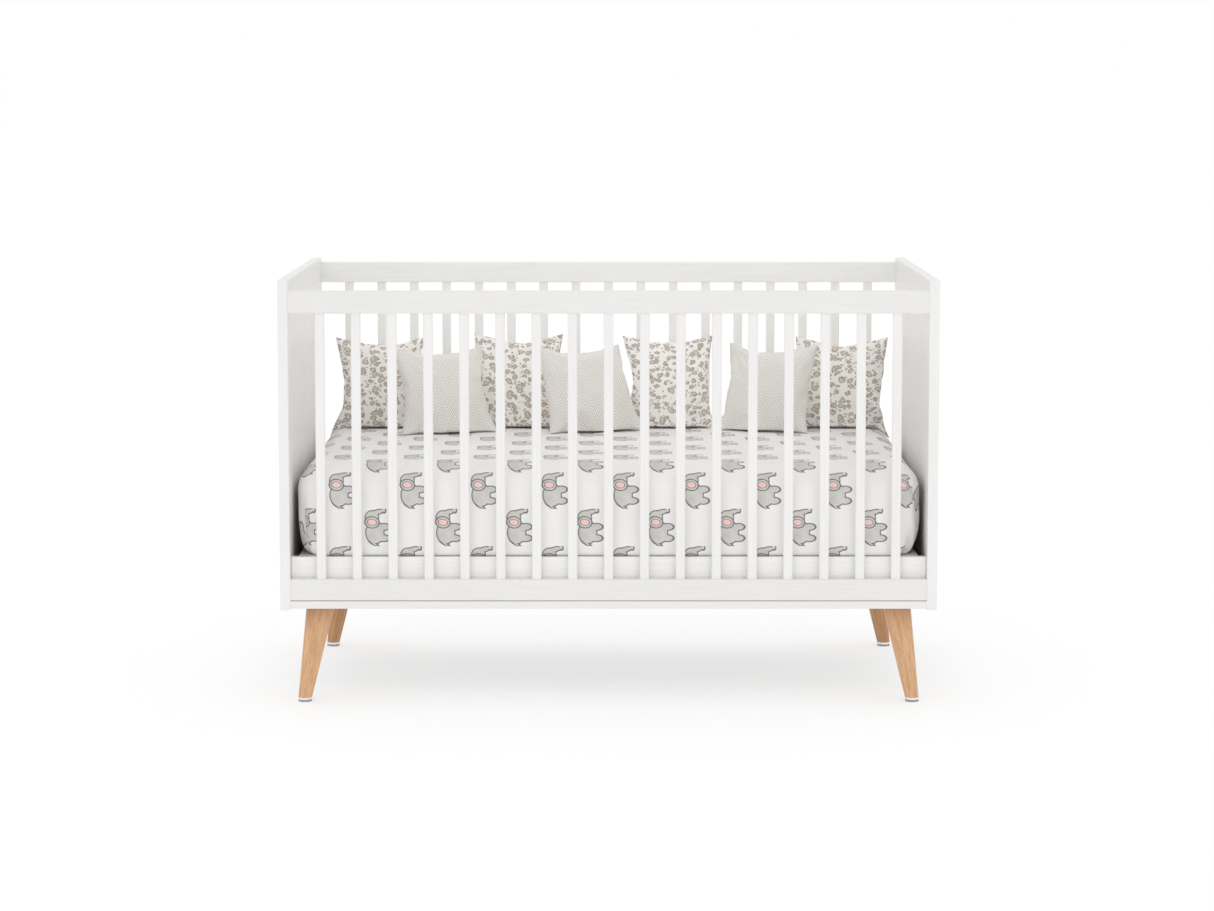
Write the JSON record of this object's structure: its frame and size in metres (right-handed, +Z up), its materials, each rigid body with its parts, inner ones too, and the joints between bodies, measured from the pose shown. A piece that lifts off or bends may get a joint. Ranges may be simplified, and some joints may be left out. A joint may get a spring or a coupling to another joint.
{
  "type": "baby crib",
  "caption": "Baby crib with board end panels, slatted sides, splayed round wooden legs, a height-adjustable mattress support, a mattress with a fitted sheet and loose cushions.",
  "frame": {"origin": "on the floor, under the middle of the crib", "axes": "+X along the crib's length, to the right seen from the front; +Y to the back; +Z up"},
  "size_m": [1.372, 0.756, 0.898],
  "materials": {
    "panel_paint": "satin",
    "rail_paint": "satin",
    "slat_paint": "satin",
    "board_paint": "satin",
    "deck_laminate": "matte",
    "leg_wood": "satin",
    "dowel_wood": "matte",
    "glide_plastic": "satin",
    "cap_plastic": "satin",
    "felt": "matte",
    "plate_steel": "satin",
    "zinc": "satin",
    "insert_brass": "satin",
    "ticking": "matte",
    "sheet_print": "matte",
    "spotted_fabric": "matte",
    "woven_fabric": "matte"
  },
  "bodies": {
    "frame": {"left_end_panel": "panel_paint", "right_end_panel": "panel_paint", "front_top_rail": "rail_paint", "front_bottom_rail": "rail_paint", "back_top_rail": "rail_paint", "back_bottom_rail": "rail_paint", "front_slat_01": "slat_paint", "front_slat_02": "slat_paint", "front_slat_03": "slat_paint", "front_slat_04": "slat_paint", "front_slat_05": "slat_paint", "front_slat_06": "slat_paint", "front_slat_07": "slat_paint", "front_slat_08": "slat_paint", "front_slat_09": "slat_paint", "front_slat_10": "slat_paint", "front_slat_11": "slat_paint", "front_slat_12": "slat_paint", "front_slat_13": "slat_paint", "front_slat_14": "slat_paint", "front_slat_15": "slat_paint", "front_slat_16": "slat_paint", "front_slat_17": "slat_paint", "back_slats": "slat_paint", "base_board": "board_paint", "front_left_leg": "leg_wood", "front_right_leg": "leg_wood", "back_left_leg": "leg_wood", "back_right_leg": "leg_wood", "dowels": "dowel_wood", "leg_glides": "glide_plastic", "bolt_caps": "cap_plastic", "felt_pads": "felt", "leg_plates": "plate_steel", "hanger_bolts": "zinc", "plate_screws": "zinc", "frame_bolts": "zinc", "barrel_nuts": "zinc", "level_bolts": "zinc", "level_inserts": "insert_brass"},
    "support": {"mattress_deck": "deck_laminate", "front_apron": "board_paint", "back_apron": "board_paint", "support_brackets": "zinc", "bracket_screws": "zinc"},
    "bed": {"mattress": "ticking", "fitted_sheet": "sheet_print"},
    "cushion_1": {"cushion_1": "spotted_fabric"},
    "cushion_2": {"cushion_2": "woven_fabric"},
    "cushion_3": {"cushion_3": "spotted_fabric"},
    "cushion_4": {"cushion_4": "woven_fabric"},
    "cushion_5": {"cushion_5": "spotted_fabric"},
    "cushion_6": {"cushion_6": "woven_fabric"},
    "cushion_7": {"cushion_7": "spotted_fabric"}
  },
  "joints": [
    {"name": "support_height", "type": "slide", "parent": "frame", "child": "support", "axis": [0, 0, 1], "range_m": [0, 0.16]},
    {"name": "mattress_lift", "type": "slide", "parent": "support", "child": "bed", "axis": [0, 0, 1], "range_m": [0, 0.6]},
    {"name": "cushion_1_lift", "type": "slide", "parent": "bed", "child": "cushion_1", "axis": [0, 0, 1], "range_m": [0, 0.4]},
    {"name": "cushion_2_lift", "type": "slide", "parent": "bed", "child": "cushion_2", "axis": [0, 0, 1], "range_m": [0, 0.4]},
    {"name": "cushion_3_lift", "type": "slide", "parent": "bed", "child": "cushion_3", "axis": [0, 0, 1], "range_m": [0, 0.4]},
    {"name": "cushion_4_lift", "type": "slide", "parent": "bed", "child": "cushion_4", "axis": [0, 0, 1], "range_m": [0, 0.4]},
    {"name": "cushion_5_lift", "type": "slide", "parent": "bed", "child": "cushion_5", "axis": [0, 0, 1], "range_m": [0, 0.4]},
    {"name": "cushion_6_lift", "type": "slide", "parent": "bed", "child": "cushion_6", "axis": [0, 0, 1], "range_m": [0, 0.4]},
    {"name": "cushion_7_lift", "type": "slide", "parent": "bed", "child": "cushion_7", "axis": [0, 0, 1], "range_m": [0, 0.4]}
  ]
}
